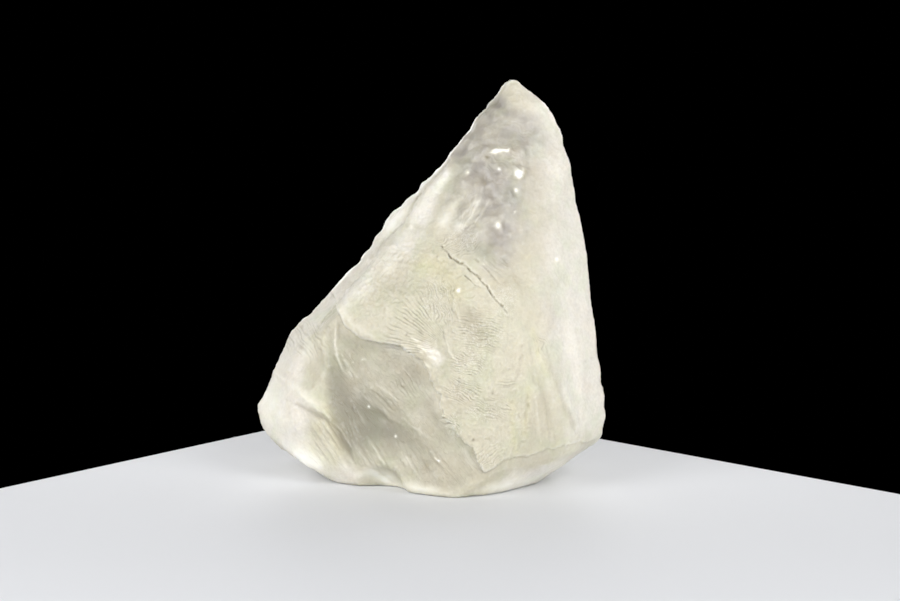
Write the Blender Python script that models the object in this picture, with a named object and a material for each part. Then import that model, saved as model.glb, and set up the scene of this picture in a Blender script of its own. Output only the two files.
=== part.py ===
# Calcite crystal point: one broken, water-worn piece that stands on a flat break.
# Metres, +Z up. The origin is the middle of the base, on the surface that it stands on.
import math
from typing import NamedTuple

import bmesh
import bpy
from mathutils import Matrix, Vector, geometry, noise

MM = 0.001

# Driving dimensions
HEIGHT = 66.0 * MM
WIDTH = 58.4 * MM
DEPTH = 38.8 * MM

# How finely the worn surface is modelled, and how many triangles it is brought down to
GRAIN = 0.75 * MM
TRIANGLES = 9000

# Wear: rounding passes, then lumps at two sizes
ROUNDING_PASSES = 3
ROUNDING = 0.5
LUMP_SIZE = 9.0 * MM
LUMP_HEIGHT = 0.22 * MM
PIMPLE_SIZE = 2.6 * MM
PIMPLE_HEIGHT = 0.13 * MM

# A dome's radius over its height: the larger, the flatter its rim meets the surface
DOME_ROUNDNESS = 2.2
DOME_SEGMENTS = 36
DOME_RINGS = 18
DOME_UNEVENNESS = 0.30
DOME_LUMPS = 1.6

# The kind of triangulation that stays inside a rim, and how near two of its places are one
INSIDE_RIM = 1
SAME_PLACE = 0.01 * MM

# The foot goes on below the ground, narrower, until it is cut off flat
FOOT_DROP = 2.5 * MM
FOOT_SHARE = 0.88

# Corners of the worn surface that are this near to the ground are put on it before the cut
NEAR_GROUND = 0.15 * MM
ON_GROUND = 0.0001 * MM

# Colour of the pale, milky crystal
CALCITE_COLOUR = (0.79, 0.76, 0.66, 1.0)
CALCITE_ROUGHNESS = 0.42

# Places are shares of half the width to the right, half the depth to the back, and the height up.

# Corners of the point before anything broke off it
CORNERS = {
    "tip": (0.434, 0.206, 1.006),
    "tip_left": (0.355, 0.232, 0.968),
    "tip_right": (0.548, 0.180, 0.979),
    "tip_back": (0.445, 0.387, 0.960),
    "brow": (0.445, 0.000, 0.945),
    "shoulder": (0.622, 0.129, 0.957),
    "shoulder_low": (0.692, 0.103, 0.904),
    "right_high": (0.757, 0.052, 0.830),
    "right_middle": (0.895, -0.052, 0.540),
    "right_corner": (1.008, -0.206, 0.165),
    "right_under": (0.988, -0.180, 0.102),
    "right_back": (0.920, 0.400, 0.190),
    "left_bump": (-0.262, 0.129, 0.672),
    "left_shoulder": (-0.818, 0.052, 0.353),
    "left_corner": (-1.022, -0.103, 0.159),
    "left_heel": (-0.980, -0.103, 0.108),
    "left_under": (-0.866, -0.155, 0.062),
    "left_back": (-0.860, 0.440, 0.170),
    "left_back_high": (-0.680, 0.380, 0.350),
    "ridge_low": (-0.486, -0.464, 0.462),
    "ridge_foot": (-0.702, -0.490, 0.333),
    "lobe_front": (-0.771, -0.541, 0.152),
    "lobe_under": (-0.599, -0.593, 0.055),
    "lobe_heel": (-0.720, -0.500, 0.048),
    "trough_front": (-0.274, -0.851, 0.152),
    "crest_high": (0.205, -0.747, 0.500),
    "crest_low": (0.205, -0.954, 0.273),
    "plate_tip": (0.342, -0.995, 0.068),
    "front_right_high": (0.630, -0.590, 0.455),
    "plate_right": (0.660, -0.730, 0.270),
    "front_right": (0.800, -0.590, 0.170),
    "front_right_low": (0.810, -0.590, 0.098),
    "shell": (-0.178, -0.690, 0.4545),
    "back_right": (0.616, 0.619, 0.455),
    "back_middle": (0.137, 1.000, 0.379),
    "back_low": (0.103, 1.000, 0.121),
    "back_left": (-0.411, 0.670, 0.333),
}

# Corners of the flat break that it stands on
FOOT = {
    "front": (0.137, -1.000),
    "front_right": (0.342, -0.835),
    "right": (0.530, -0.560),
    "back_right": (0.548, 0.412),
    "back": (0.137, 0.902),
    "back_left": (-0.342, 0.722),
    "lobe": (-0.445, -0.567),
}


class Dome(NamedTuple):
    """A part of a ball that stands on the surface, or that is hollowed out of it.

    Its place is moved along the way it faces until it is on the rough surface.
    """

    place: tuple
    facing: tuple
    along: tuple
    length: float
    breadth: float
    height: float


class Panel(NamedTuple):
    """A break that opens to the front, -1, or the back, 1: its rim and inner places, on its floor."""

    opens: int
    rim: list
    inside: list


# Swellings of the surface
LUMPS = {
    "knob_high": Dome((0.43, -0.20, 0.81), (0.2, -0.9, 0.4), (1.0, 0.0, 0.3), 7 * MM, 5 * MM, 0.6 * MM),
    "knob_low": Dome((0.33, -0.38, 0.70), (0.2, -0.9, 0.4), (0.5, 0.0, 0.8), 8 * MM, 5 * MM, 0.5 * MM),
    "plate_swell": Dome(
        (0.36, -0.72, 0.38), (0.3, -0.95, 0.2), (-0.3, 0.0, 1.0), 16 * MM, 12 * MM, 0.6 * MM
    ),
}

# Hollows in the surface
SCOOPS = {
    "trough": Dome(
        (-0.32, -0.76, 0.17), (-0.1, -0.95, 0.20), (0.68, -0.21, -0.70), 27 * MM, 11 * MM, 3.4 * MM
    ),
    "trough_high": Dome(
        (-0.44, -0.60, 0.26), (-0.1, -0.95, 0.2), (0.3, -0.1, -1.0), 12 * MM, 8 * MM, 2.6 * MM
    ),
    "lobe_fan": Dome((-0.68, -0.52, 0.27), (-0.6, -0.7, 0.4), (0.4, -0.2, -0.9), 13 * MM, 7 * MM, 0.9 * MM),
    "lobe_streaks": Dome(
        (-0.48, -0.70, 0.09), (0.1, -0.9, -0.1), (0.5, 0.0, -0.8), 9 * MM, 4 * MM, 0.5 * MM
    ),
    "pearly_flat": Dome((0.06, -0.24, 0.69), (-0.5, -0.6, 0.6), (0.4, 0.2, 0.9), 14 * MM, 6 * MM, 0.5 * MM),
    "smoky_bowl": Dome((0.21, -0.36, 0.70), (-0.1, -0.9, 0.45), (0.2, 0.2, 1.0), 9 * MM, 7 * MM, 0.7 * MM),
    "smoky_high": Dome((0.36, -0.07, 0.87), (0.1, -0.9, 0.4), (0.8, 0.0, 0.3), 8 * MM, 5 * MM, 0.4 * MM),
    "smoky_side": Dome((0.26, -0.18, 0.80), (-0.1, -0.9, 0.4), (0.6, 0.0, 0.9), 7 * MM, 4 * MM, 0.5 * MM),
    "dimple": Dome((0.316, -0.52, 0.62), (0.1, -0.86, 0.33), (1.0, 0.3, 0.0), 6.5 * MM, 6 * MM, 0.8 * MM),
    "dimple_low": Dome((0.457, -0.46, 0.59), (0.3, -0.86, 0.33), (0.5, 0.0, 1.0), 7 * MM, 4 * MM, 0.5 * MM),
    "upper_left": Dome((0.045, 0.13, 0.82), (-0.8, 0.0, 0.6), (0.6, 0.0, 0.8), 26 * MM, 20 * MM, 1.1 * MM),
    "lower_left": Dome(
        (-0.525, 0.10, 0.495), (-0.7, 0.0, 0.7), (0.7, 0.0, 0.7), 20 * MM, 20 * MM, 1.1 * MM
    ),
    "groove_inner": Dome(
        (0.62, -0.60, 0.28), (0.5, -0.85, 0.15), (0.1, 0.1, 1.0), 20 * MM, 5 * MM, 0.6 * MM
    ),
    "groove_middle": Dome(
        (0.75, -0.44, 0.38), (0.6, -0.8, 0.2), (-0.1, 0.1, 1.0), 18 * MM, 4 * MM, 0.5 * MM
    ),
    "groove_outer": Dome(
        (0.83, -0.45, 0.21), (0.6, -0.8, 0.2), (-0.15, 0.1, 1.0), 14 * MM, 4 * MM, 0.5 * MM
    ),
    "back_bowl": Dome((0.30, 0.70, 0.50), (0.3, 0.9, 0.35), (0.4, -0.3, 1.0), 22 * MM, 12 * MM, 1.6 * MM),
    "back_side": Dome((-0.55, 0.50, 0.42), (-0.6, 0.7, 0.4), (0.5, 0.0, 0.8), 18 * MM, 9 * MM, 1.2 * MM),
    "back_foot": Dome((0.45, 0.75, 0.10), (0.4, 0.9, -0.1), (0.9, -0.3, 0.3), 20 * MM, 12 * MM, 1.1 * MM),
    "back_high": Dome((0.52, 0.40, 0.74), (0.4, 0.9, 0.2), (0.1, -0.2, 1.0), 17 * MM, 8 * MM, 0.9 * MM),
    "notch": Dome((-0.30, -0.74, 0.02), (0.0, -0.75, -0.66), (1.0, 0.0, 0.0), 9 * MM, 9 * MM, 2.2 * MM),
}

# Breaks with a sharp rim
PANELS = {
    "trough_break": Panel(
        opens=-1,
        rim=[
            (-0.526, -0.454, 0.432),
            (-0.479, -0.479, 0.398),
            (-0.393, -0.525, 0.374),
            (-0.286, -0.580, 0.367),
            (-0.163, -0.644, 0.364),
            (-0.134, -0.667, 0.353),
            (-0.050, -0.730, 0.332),
            (-0.021, -0.768, 0.304),
            (0.019, -0.817, 0.270),
            (0.058, -0.858, 0.250),
            (0.060, -0.879, 0.202),
            (0.126, -0.908, 0.181),
            (0.166, -0.925, 0.153),
            (0.244, -0.941, 0.122),
            (0.273, -0.953, 0.088),
            (0.306, -0.968, 0.066),
            (0.270, -1.000, 0.019),
            (0.061, -1.000, 0.014),
            (-0.163, -0.872, 0.029),
            (-0.361, -0.728, 0.027),
            (-0.474, -0.697, 0.058),
            (-0.537, -0.700, 0.121),
            (-0.572, -0.690, 0.182),
            (-0.586, -0.650, 0.243),
            (-0.577, -0.590, 0.316),
            (-0.558, -0.520, 0.376),
        ],
        inside=[(-0.420, -0.560, 0.270), (-0.320, -0.680, 0.170), (-0.120, -0.860, 0.090)],
    ),
    "left_strip": Panel(
        opens=-1,
        rim=[
            (0.103, 0.048, 0.825),
            (0.064, -0.009, 0.794),
            (-0.019, -0.026, 0.749),
            (-0.113, -0.075, 0.694),
            (-0.161, -0.180, 0.651),
            (-0.274, -0.160, 0.605),
            (-0.375, -0.290, 0.531),
            (-0.482, -0.275, 0.481),
            (-0.564, -0.324, 0.432),
            (-0.632, -0.334, 0.395),
            (-0.880, 0.077, 0.388),
            (-0.653, 0.129, 0.511),
            (-0.426, 0.165, 0.653),
            (-0.200, 0.206, 0.768),
            (0.020, 0.206, 0.860),
        ],
        inside=[],
    ),
    "back_slab": Panel(
        opens=1,
        rim=[
            (0.100, 0.924, 0.280),
            (-0.100, 0.800, 0.330),
            (-0.240, 0.578, 0.440),
            (-0.140, 0.496, 0.550),
            (-0.020, 0.512, 0.600),
            (0.060, 0.434, 0.700),
            (0.200, 0.438, 0.780),
            (0.360, 0.459, 0.860),
            (0.550, 0.390, 0.840),
            (0.660, 0.405, 0.660),
            (0.700, 0.483, 0.500),
            (0.580, 0.619, 0.420),
            (0.420, 0.727, 0.370),
            (0.300, 0.809, 0.300),
        ],
        inside=[],
    ),
    "back_flake": Panel(
        opens=1,
        rim=[
            (-0.300, 0.719, 0.140),
            (-0.520, 0.583, 0.200),
            (-0.660, 0.446, 0.280),
            (-0.600, 0.430, 0.360),
            (-0.440, 0.540, 0.400),
            (-0.300, 0.768, 0.340),
            (-0.200, 0.846, 0.240),
        ],
        inside=[],
    ),
}


def at(across, back, up):
    """A place in the crystal, from its shares of half the width, half the depth and the height."""
    return Vector((across * WIDTH / 2, back * DEPTH / 2, up * HEIGHT))


def add_object(name, shape):
    """A new object with the mesh of a bmesh."""
    mesh = bpy.data.meshes.new(name)
    shape.to_mesh(mesh)
    shape.free()
    made = bpy.data.objects.new(name, mesh)
    bpy.context.scene.collection.objects.link(made)
    return made


def rough_point():
    """The point's flat faces: the hull of its corners, and of a foot that goes below the ground."""
    body = bmesh.new()
    for corner in CORNERS.values():
        body.verts.new(at(*corner))
    for across, back in FOOT.values():
        body.verts.new(at(across, back, 0.0))
        body.verts.new(at(across * FOOT_SHARE, back * FOOT_SHARE, -FOOT_DROP / HEIGHT))
    hull = bmesh.ops.convex_hull(body, input=body.verts)
    inside = [v for v in hull["geom_interior"] if isinstance(v, bmesh.types.BMVert)]
    bmesh.ops.delete(body, geom=inside, context="VERTS")
    bmesh.ops.recalc_face_normals(body, faces=body.faces)
    return add_object("crystal", body)


def as_guide(guide, group):
    """Hides an object that only cuts or swells the crystal, and puts it in its group."""
    guide.hide_render = True
    guide.display_type = "WIRE"
    for owner in list(guide.users_collection):
        owner.objects.unlink(guide)
    group.objects.link(guide)


def on_surface(body, place, facing):
    """Where the body's surface is, straight out from a place near it."""
    hit, surface, _, _ = body.ray_cast(place + facing * HEIGHT, -facing)
    return surface if hit else place


def dome_guide(name, dome, side, body, group):
    """The ball that a dome is part of. Its centre is under the surface, or over it for a hollow."""
    facing = Vector(dome.facing).normalized()
    along = Vector(dome.along)
    along = (along - facing * along.dot(facing)).normalized()
    across = facing.cross(along)
    radius = dome.height * DOME_ROUNDNESS
    rim = math.sqrt(1 - (1 - 1 / DOME_ROUNDNESS) ** 2)
    surface = on_surface(body, at(*dome.place), facing)
    centre = surface + side * facing * (radius - dome.height)
    turn = Matrix((along, across, facing)).transposed().to_4x4()
    size = Matrix.Diagonal((dome.length / 2 / rim, dome.breadth / 2 / rim, radius, 1.0))
    ball = bmesh.new()
    bmesh.ops.create_uvsphere(ball, u_segments=DOME_SEGMENTS, v_segments=DOME_RINGS, radius=1.0)
    for vertex in ball.verts:
        spread = 1 + DOME_UNEVENNESS * noise.noise(vertex.co * DOME_LUMPS + centre / MM)
        vertex.co.x *= spread
        vertex.co.y *= spread
    bmesh.ops.transform(ball, matrix=Matrix.Translation(centre) @ turn @ size, verts=ball.verts)
    as_guide(add_object(name, ball), group)


def panel_guide(name, panel, group):
    """The block outside a panel's floor, within its rim. Flat triangles join the floor's places."""
    places = [at(*place) for place in panel.rim + panel.inside]
    seen_flat = [Vector((place.x, place.z)) for place in places]
    rim = list(range(len(panel.rim)))
    joined = geometry.delaunay_2d_cdt(seen_flat, [], [rim], INSIDE_RIM, SAME_PLACE)
    block = bmesh.new()
    floor = [block.verts.new(place) for place in places]
    outer = [block.verts.new((place.x, panel.opens * DEPTH, place.z)) for place in places]
    for triangle in joined[2]:
        block.faces.new([floor[corner] for corner in triangle])
        block.faces.new([outer[corner] for corner in reversed(triangle)])
    for here in rim:
        after = (here + 1) % len(rim)
        block.faces.new((floor[here], floor[after], outer[after], outer[here]))
    bmesh.ops.recalc_face_normals(block, faces=block.faces)
    as_guide(add_object(name, block), group)


def new_group(name):
    """A collection in the scene, for guides that work together."""
    group = bpy.data.collections.new(name)
    bpy.context.scene.collection.children.link(group)
    return group


def add_boolean(body, group, operation):
    """Joins a group's solids to the body, or cuts them out of it."""
    boolean = body.modifiers.new(group.name, "BOOLEAN")
    boolean.operation = operation
    boolean.operand_type = "COLLECTION"
    boolean.collection = group
    boolean.solver = "EXACT"


def settle(body):
    """Puts the shape that the modifiers make into the body's own mesh."""
    graph = bpy.context.evaluated_depsgraph_get()
    shaped = bpy.data.meshes.new_from_object(body.evaluated_get(graph))
    body.modifiers.clear()
    old = body.data
    body.data = shaped
    bpy.data.meshes.remove(old)


def wear(mesh):
    """Raises and sinks the surface in soft lumps, broad ones and small ones."""
    outward = [vertex.normal.copy() for vertex in mesh.vertices]
    for vertex, normal in zip(mesh.vertices, outward):
        broad = noise.fractal(vertex.co / LUMP_SIZE, 0.9, 2.0, 2)
        small = noise.noise(vertex.co / PIMPLE_SIZE)
        vertex.co += normal * (LUMP_HEIGHT * broad + PIMPLE_HEIGHT * small)


def drop_crumbs(body):
    """Takes away what the breaks cut loose: all but the body's largest connected part."""
    waiting = set(body.verts)
    parts = []
    while waiting:
        part = set()
        reached = [waiting.pop()]
        while reached:
            vertex = reached.pop()
            part.add(vertex)
            for edge in vertex.link_edges:
                other = edge.other_vert(vertex)
                if other in waiting:
                    waiting.remove(other)
                    reached.append(other)
        parts.append(part)
    parts.sort(key=len)
    for crumb in parts[:-1]:
        bmesh.ops.delete(body, geom=list(crumb), context="VERTS")


def cut_foot(mesh):
    """Cuts the mesh off flat at the ground, and lets the crumbs fall."""
    body = bmesh.new()
    body.from_mesh(mesh)
    for vertex in body.verts:
        if abs(vertex.co.z) < NEAR_GROUND:
            vertex.co.z = 0.0
    everything = list(body.verts) + list(body.edges) + list(body.faces)
    cut = bmesh.ops.bisect_plane(
        body, geom=everything, dist=ON_GROUND, plane_co=(0, 0, 0), plane_no=(0, 0, 1), clear_inner=True
    )
    rim = [edge for edge in cut["geom_cut"] if isinstance(edge, bmesh.types.BMEdge)]
    for vertex in {vertex for edge in rim for vertex in edge.verts}:
        vertex.co.z = 0.0
    bmesh.ops.holes_fill(body, edges=rim)
    drop_crumbs(body)
    bmesh.ops.triangulate(body, faces=body.faces)
    bmesh.ops.recalc_face_normals(body, faces=body.faces)
    body.to_mesh(mesh)
    body.free()


def fit_to_size(mesh):
    """Brings the worn body to its size, with its middle over the origin."""
    lows = Vector([min(vertex.co[axis] for vertex in mesh.vertices) for axis in range(3)])
    highs = Vector([max(vertex.co[axis] for vertex in mesh.vertices) for axis in range(3)])
    middle = (lows + highs) / 2
    middle.z = lows.z
    sizes = (WIDTH, DEPTH, HEIGHT)
    for vertex in mesh.vertices:
        for axis in range(3):
            share = sizes[axis] / (highs[axis] - lows[axis])
            vertex.co[axis] = (vertex.co[axis] - middle[axis]) * share


def calcite():
    """Pale, milky, slightly yellow crystal."""
    material = bpy.data.materials.new("calcite")
    material.use_nodes = True
    shader = material.node_tree.nodes["Principled BSDF"]
    shader.inputs["Base Color"].default_value = CALCITE_COLOUR
    shader.inputs["Roughness"].default_value = CALCITE_ROUGHNESS
    shader.inputs["Metallic"].default_value = 0.0
    return material


def crystal_point():
    """The whole crystal: the rough point, swollen, broken, worn and cut flat."""
    crystal = rough_point()
    swellings = new_group("swellings")
    breaks = new_group("breaks")
    for name, dome in LUMPS.items():
        dome_guide(name, dome, -1, crystal, swellings)
    for name, dome in SCOOPS.items():
        dome_guide(name, dome, 1, crystal, breaks)
    for name, panel in PANELS.items():
        panel_guide(name, panel, breaks)
    add_boolean(crystal, swellings, "UNION")
    add_boolean(crystal, breaks, "DIFFERENCE")
    remesh = crystal.modifiers.new("grain", "REMESH")
    remesh.mode = "VOXEL"
    remesh.voxel_size = GRAIN
    rounding = crystal.modifiers.new("rounding", "SMOOTH")
    rounding.factor = ROUNDING
    rounding.iterations = ROUNDING_PASSES
    settle(crystal)
    wear(crystal.data)
    fewer = crystal.modifiers.new("fewer_faces", "DECIMATE")
    fewer.ratio = TRIANGLES / (2 * len(crystal.data.polygons))
    settle(crystal)
    cut_foot(crystal.data)
    fit_to_size(crystal.data)
    crystal.data.materials.clear()
    crystal.data.materials.append(calcite())
    return crystal


def main():
    for old in list(bpy.data.objects):
        bpy.data.objects.remove(old)
    crystal_point()


main()
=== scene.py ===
# Looks of a calcite crystal point: its worn surface, milky and clear zones, light and camera.
# Metres, +Z up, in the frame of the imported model.
import math

import bmesh
import bpy
import numpy as np
from mathutils import Matrix, Vector, noise


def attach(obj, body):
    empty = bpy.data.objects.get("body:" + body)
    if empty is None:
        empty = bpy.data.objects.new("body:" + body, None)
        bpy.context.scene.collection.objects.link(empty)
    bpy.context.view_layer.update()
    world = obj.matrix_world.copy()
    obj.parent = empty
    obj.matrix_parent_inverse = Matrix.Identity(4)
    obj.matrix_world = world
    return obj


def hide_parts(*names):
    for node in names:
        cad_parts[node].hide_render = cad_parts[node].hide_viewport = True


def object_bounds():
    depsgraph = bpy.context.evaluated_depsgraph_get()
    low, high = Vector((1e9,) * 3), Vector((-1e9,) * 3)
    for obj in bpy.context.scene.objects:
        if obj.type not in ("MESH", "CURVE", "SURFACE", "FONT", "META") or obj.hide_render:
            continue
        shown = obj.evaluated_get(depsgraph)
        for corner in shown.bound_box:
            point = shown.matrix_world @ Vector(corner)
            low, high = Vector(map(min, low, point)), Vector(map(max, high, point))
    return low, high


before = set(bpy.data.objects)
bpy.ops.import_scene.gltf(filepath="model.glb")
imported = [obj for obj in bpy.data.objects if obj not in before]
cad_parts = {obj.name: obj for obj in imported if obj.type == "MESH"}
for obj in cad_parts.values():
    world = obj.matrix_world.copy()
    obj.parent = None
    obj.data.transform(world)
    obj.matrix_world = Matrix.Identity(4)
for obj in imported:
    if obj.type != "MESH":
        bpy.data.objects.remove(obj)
CAD_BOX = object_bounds()

MM = 0.001

# The photograph's frame, and the camera that it was taken with
FRAME_WIDTH = 900
FRAME_HEIGHT = 601
FOCAL_PIXELS = 2193.1
SENSOR = 36 * MM
CLIP_NEAR = 10 * MM
CLIP_FAR = 10
CAMERA_PLACE = Vector((2.9, -363, 85.8)) * MM
CAMERA_DOWN = math.radians(8.85)
CAMERA_ROLL = math.radians(0.89)

# The mesh: its coarsest grain, how it is smoothed, what is split finer, and its count of triangles.
# A place's facing is 1 where it looks at the camera, 0 on the outline and below 0 behind.
GRAIN = 0.5 * MM
FACET_SMOOTHING = 6
SPLIT_SMOOTHING = 2
SEEN_FACING = 0.15
ETCHED_FACING = 0.2
FRONT_FACING = 0.3
TRIANGLES = 190000

# How relief is measured for its colours: painted highlights on ridges and painted shade in hollows
BULGE_PASSES = 6
BULGE_HEIGHT = 0.12 * MM

# Floor: a plain pale sheet that reaches past the frame in front
FLOOR_SIDE = 150 * MM
FLOOR_THICKNESS = 4 * MM
FLOOR_MIDDLE = Vector((2.9, -46.7, 0)) * MM
FLOOR_TURN = math.radians(50.37)
FLOOR_ROUNDING = 0.3 * MM
FLOOR_GAP = 0.03 * MM
FLOOR_SHARP = math.radians(40)
FLOOR_COLOUR = (0.722, 0.733, 0.758, 1)
FLOOR_ROUGHNESS = 0.7

# Soft lights: name, place, width and height, watts
LIGHTS = [
    ("left_box", (-0.42, -0.32, 0.2), (0.3, 0.36), 2.2),
    ("left_high", (-0.36, -0.28, 0.38), (0.3, 0.36), 0.62),
    ("right_box", (0.43, -0.3, 0.06), (0.3, 0.36), 1.7),
    ("right_high", (0.36, -0.28, 0.38), (0.3, 0.36), 1.22),
    ("front_fill", (0.04, -0.55, 0.26), (0.45, 0.25), 1.16),
    ("back_left", (-0.35, 0.35, 0.18), (0.25, 0.3), 0.5),
    ("back_right", (0.35, 0.35, 0.18), (0.25, 0.3), 0.6),
    ("back_fill", (0, 0.58, 0.08), (0.45, 0.24), 1.7),
]
LIGHT_AIM = Vector((0, 0, 0.03))

# Colours of the stone, also used for the shade and highlights painted on it
CREAM = (0.62, 0.585, 0.475, 1)
YELLOW = (0.63, 0.595, 0.41, 1)
SMOKE = (0.46, 0.43, 0.385, 1)
GREY = (0.325, 0.305, 0.235, 1)
FROST = (0.8, 0.77, 0.7, 1)
# A dark earthy tone for specks, cracks and fine lines, also used for painted shade
EARTH_AND_SHADE = (0.3, 0.26, 0.18, 1)
WHITE = (0.95, 0.95, 0.93, 1)
IVORY = (0.95, 0.93, 0.83, 1)
BLACK = (0, 0, 0, 1)
PINKISH = (1, 0.97, 0.96, 1)
GREENISH = (0.95, 0.985, 0.93, 1)

# How the stone takes light: refraction, milkiness, what its inside absorbs, roughness and bump
CALCITE_IOR = 1.6
MILK_WEIGHT = 0.55
MILK_RADIUS = (1, 0.9, 0.65)
MILK_SCALE = 1.4 * MM
INSIDE_COLOUR = (0.93, 0.9, 0.72, 1)
INSIDE_DENSITY = 25
WORN_ROUGHNESS = 0.52
POLISHED_ROUGHNESS = 0.36
SPECK_ROUGHNESS = 0.04
BUMP_STRENGTH = 0.45
BUMP_DEPTH = 0.1 * MM

# Sizes of the soft noise in the stone
TERRACE_PATCH = 17 * MM
VEIL = 14 * MM
FLAW = 8 * MM
CLOUD = 6 * MM
SCALLOP = 2.6 * MM
SWELL = 2.4 * MM
WISP = 2.2 * MM
PEBBLE = 0.9 * MM
SAND = 0.45 * MM
SPECK = 0.5 * MM
SMOKE_GRAIN = 1.5 * MM
TINT = 5 * MM
MOTTLE = 2.5 * MM
ETCHING = 0.75 * MM
THREAD = 0.55 * MM

# The same across the photograph, in pixels
RAGGED_WAVE = 8
RAGGED_NOTCH = 3.5
RIPPLE_SWAY = 8
FAN_SWAY = 10
STROKE_SWAY = 7
CRACK_JAG = 5
CRACK_NICK = 2.2
CRACK_GAP = 6.5

# How far the yellow glow and streaks reach, in pixels
GLOW_REACH = 11
STREAK_REACH = 3.2

# Paths and places on the front, as pixels of the photograph
SHELL_EDGE = [
    (328, 286), (334, 298), (338, 312), (346, 327), (361, 338), (380, 342), (402, 345), (407, 350),
]
RAGGED_EDGE = [
    (407, 350), (422, 360), (427, 372), (434, 387), (441, 396), (441, 416), (453, 425), (460, 437),
    (474, 450), (479, 464), (485, 473),
]
UNDER_EDGE = [(485, 473), (492, 470), (504, 459), (526, 457), (545, 451), (579, 442), (594, 440)]
PLATEAU_REST = [(630, 400), (600, 200), (540, 60), (480, 60), (420, 180), (350, 270)]
RIDGE_LINE = [
    (450, 160), (446, 167), (431, 181), (414, 203), (405, 222), (385, 239), (366, 271), (347, 290),
    (332, 310), (322, 322),
]
LEFT_STRIP = [(440, 140), (400, 140), (250, 330), (262, 370), (300, 352), (320, 326)]
LEFT_STRIP += RIDGE_LINE[::-1]
TROUGH = [
    (325, 318), (340, 330), (361, 340), (402, 347), (420, 362), (438, 400), (442, 420), (475, 452),
    (484, 474), (455, 492), (420, 490), (392, 474), (380, 468), (362, 468), (343, 450), (331, 424),
    (327, 400), (324, 370),
]
TROUGH_DARK = [
    (328, 358), (341, 374), (356, 390), (378, 406), (400, 424), (411, 442), (384, 446), (350, 452),
    (330, 420),
]
LOBE = [
    (255, 400), (271, 368), (290, 380), (305, 400), (325, 420), (345, 450), (362, 476), (345, 492),
    (300, 475), (262, 440),
]
ETCHED = [
    (350, 320), (352, 280), (395, 245), (440, 245), (520, 330), (535, 420), (520, 455), (485, 470),
    (445, 420), (430, 370), (400, 342),
]
PEARLY_FLAT = [
    (446, 166), (452, 174), (438, 196), (434, 218), (424, 228), (406, 224), (408, 212), (418, 198),
    (432, 180),
]
SMOKY = [
    (486, 92), (505, 104), (530, 112), (550, 128), (546, 150), (532, 180), (530, 235), (512, 272),
    (490, 268), (470, 250), (454, 240), (444, 222), (446, 200), (453, 182), (448, 160), (430, 160),
    (470, 110),
]
RIGHT_FLANK = [
    (527, 102), (538, 180), (543, 257), (546, 320), (556, 380), (572, 440), (640, 430), (620, 200),
    (560, 60),
]
TIP_CAP = [
    (470, 60), (488, 90), (500, 93), (512, 106), (526, 112), (541, 118), (549, 132), (590, 120),
    (540, 60),
]
YELLOW_GLOW = [(424, 264), (440, 268), (450, 280), (455, 292)]
YELLOW_STREAKS = [
    [(533, 330), (538, 352), (546, 374)],
    [(528, 388), (527, 408), (525, 434)],
    [(513, 402), (512, 424), (515, 452)],
    [(548, 272), (551, 286), (549, 300)],
    [(556, 384), (562, 404), (570, 426)],
    [(310, 424), (324, 446), (336, 466)],
]
PALE_SHELL = [
    (388, 232), (412, 222), (422, 236), (412, 250), (388, 262), (362, 296), (344, 306), (340, 290),
]
PALE_LEFT = [(254, 404), (280, 330), (300, 330), (308, 352), (300, 388), (280, 384)]
GLINT_PATCH = [(415, 339), (426, 341), (438, 352), (443, 362), (436, 366), (427, 356)]

# Ovals, by middle and reach: the streaks of the lobe, and the shade at the lower right
STREAKED = ((328, 440), (26, 40))
LOWER_RIGHT = ((510, 430), (90, 50))

# The fan of ripples: its middle, its lines in a radian, and how long they run before they break
FAN_MIDDLE = (456, 354)
FAN_LINES = 34
FAN_LENGTH = 9

# Areas of the front: outline, how much soft noise sways its rim, and how many pixels inside it the
# area starts and is full
AREAS = {
    "smoky": (SMOKY, 1.2, -12, 18),
    "cap": (TIP_CAP, 0.4, -6, 8),
    "trough": (TROUGH, 0.15, -3, 7),
    "dark": (TROUGH_DARK, 0.7, -16, 16),
    "lobe": (LOBE, 0.3, -5, 8),
    "flank": (RIGHT_FLANK, 0.8, -16, 18),
    "strip": (LEFT_STRIP, 0, -1, 3),
    "pearly": (PEARLY_FLAT, 0.3, -4, 6),
    "glint": (GLINT_PATCH, 0.5, -3, 4),
    "pale": (PALE_SHELL, 1, -14, 14),
    "left": (PALE_LEFT, 0.6, -8, 10),
}

# Ledges: the edge, its raggedness, height inside and depth outside in mm, reach in pixels
STEPS = [
    (SHELL_EDGE, 0.2, 0.3, 0.62, 13),
    (RAGGED_EDGE, 1.3, 0.22, 0.42, 10),
    (UNDER_EDGE, 0.8, 0.08, 0.18, 8),
    (RIDGE_LINE, 0.25, 0.12, 0.25, 7),
]

# Cracks: path, half width in pixels, depth from 0 to 1, place in the noise that varies the width
CRACKS = [
    ([
        (441, 246), (446, 251), (451, 258), (459, 263), (465, 265), (471, 272),
        (477, 275), (482, 282), (487, 286), (491, 294), (498, 302), (503, 307),
    ], 0.8, 0.85, 1),
    ([(465, 276), (470, 280), (475, 285), (480, 287)], 0.5, 0.5, 2),
    ([(474, 258), (486, 268), (498, 282)], 0.9, 0.35, 3),
    ([(503, 307), (508, 314), (513, 320)], 1.1, 0.45, 4),
]
CRACK_DEPTH = 0.5 * MM

# Cleavage ledges behind: which way each family climbs, its spacing, its place in the noise
TERRACES = [((0.75, -0.2, 0.62), 10 * MM, 31), ((-0.4, 0.5, 0.77), 8 * MM, 47)]
TERRACE_HEIGHT = 0.4 * MM

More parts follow.
